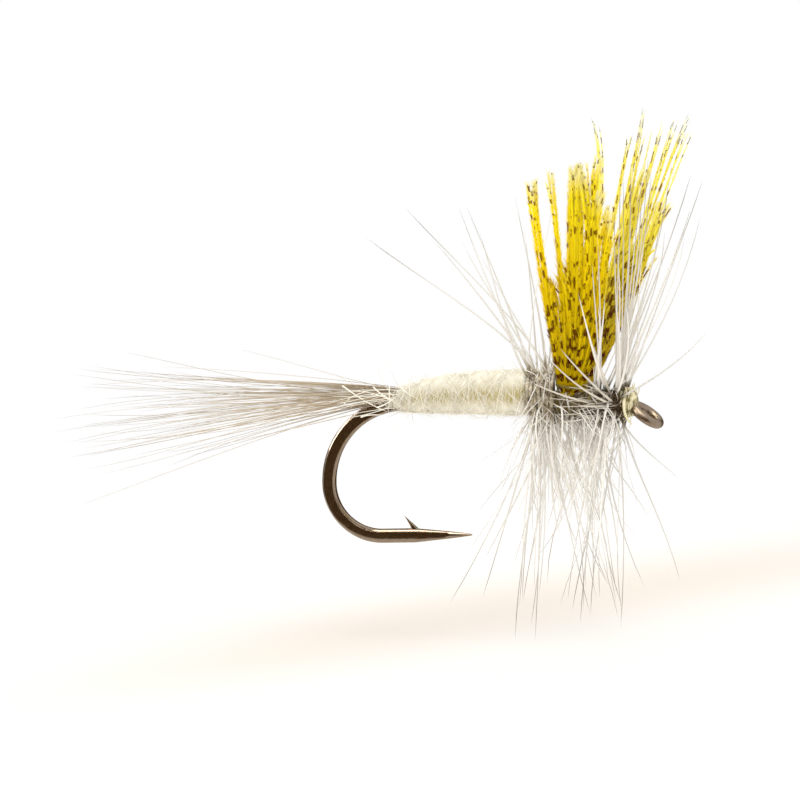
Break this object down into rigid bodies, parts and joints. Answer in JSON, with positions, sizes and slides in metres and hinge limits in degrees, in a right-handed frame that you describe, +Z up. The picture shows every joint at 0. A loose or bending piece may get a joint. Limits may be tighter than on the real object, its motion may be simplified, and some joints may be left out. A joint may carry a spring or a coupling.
{
  "type": "dry fly",
  "caption": "Floating trout fly on a barbed hook with a turned-down eye: fibre tail, tapered fur body, upright divided barred wings and wound feather hackle.",
  "frame": {"origin": "centre of the hole in the hook's eye", "axes": "+X along the shank from the bend towards the eye, +Z up towards the wings, hook in the XZ plane"},
  "size_m": [0.0283, 0.0189, 0.0217],
  "materials": {
    "bronzed_steel": "bronzed, bright edges",
    "waxed_thread": "waxed tying thread",
    "spun_fur": "spun fur, fuzzy",
    "dun_feather": "feather fibre, soft sheen",
    "hackle_feather": "cock hackle, glossy",
    "barred_feather": "dyed barred flank feather"
  },
  "bodies": {
    "root": {"butt_wraps": "waxed_thread", "dubbed_body": "spun_fur", "far_wing_barb_01": "barred_feather", "far_wing_barb_02": "barred_feather", "far_wing_barb_03": "barred_feather", "far_wing_barb_04": "barred_feather", "far_wing_barb_05": "barred_feather", "far_wing_barb_06": "barred_feather", "far_wing_barb_07": "barred_feather", "far_wing_barb_08": "barred_feather", "far_wing_barb_09": "barred_feather", "far_wing_barb_10": "barred_feather", "far_wing_barb_11": "barred_feather", "far_wing_barb_12": "barred_feather", "far_wing_barb_13": "barred_feather", "far_wing_barb_14": "barred_feather", "far_wing_wraps": "waxed_thread", "front_hackle": "hackle_feather", "hook": "bronzed_steel", "near_wing_barb_01": "barred_feather", "near_wing_barb_02": "barred_feather", "near_wing_barb_03": "barred_feather", "near_wing_barb_04": "barred_feather", "near_wing_barb_05": "barred_feather", "near_wing_barb_06": "barred_feather", "near_wing_barb_07": "barred_feather", "near_wing_barb_08": "barred_feather", "near_wing_barb_09": "barred_feather", "near_wing_barb_10": "barred_feather", "near_wing_barb_11": "barred_feather", "near_wing_barb_12": "barred_feather", "near_wing_barb_13": "barred_feather", "near_wing_barb_14": "barred_feather", "near_wing_wraps": "waxed_thread", "rear_hackle": "hackle_feather", "tail_fibre_01": "dun_feather", "tail_fibre_02": "dun_feather", "tail_fibre_03": "dun_feather", "tail_fibre_04": "dun_feather", "tail_fibre_05": "dun_feather", "tail_fibre_06": "dun_feather", "tail_fibre_07": "dun_feather", "tail_fibre_08": "dun_feather", "tail_fibre_09": "dun_feather", "tail_fibre_10": "dun_feather", "tail_fibre_11": "dun_feather", "tail_fibre_12": "dun_feather", "tail_fibre_13": "dun_feather", "tail_fibre_14": "dun_feather", "tail_fibre_15": "dun_feather", "tail_fibre_16": "dun_feather", "tail_wraps": "waxed_thread", "thread_base": "waxed_thread", "thread_head": "waxed_thread", "whip_finish": "waxed_thread", "wing_butts": "barred_feather", "wing_dam": "waxed_thread"}
  },
  "joints": []
}
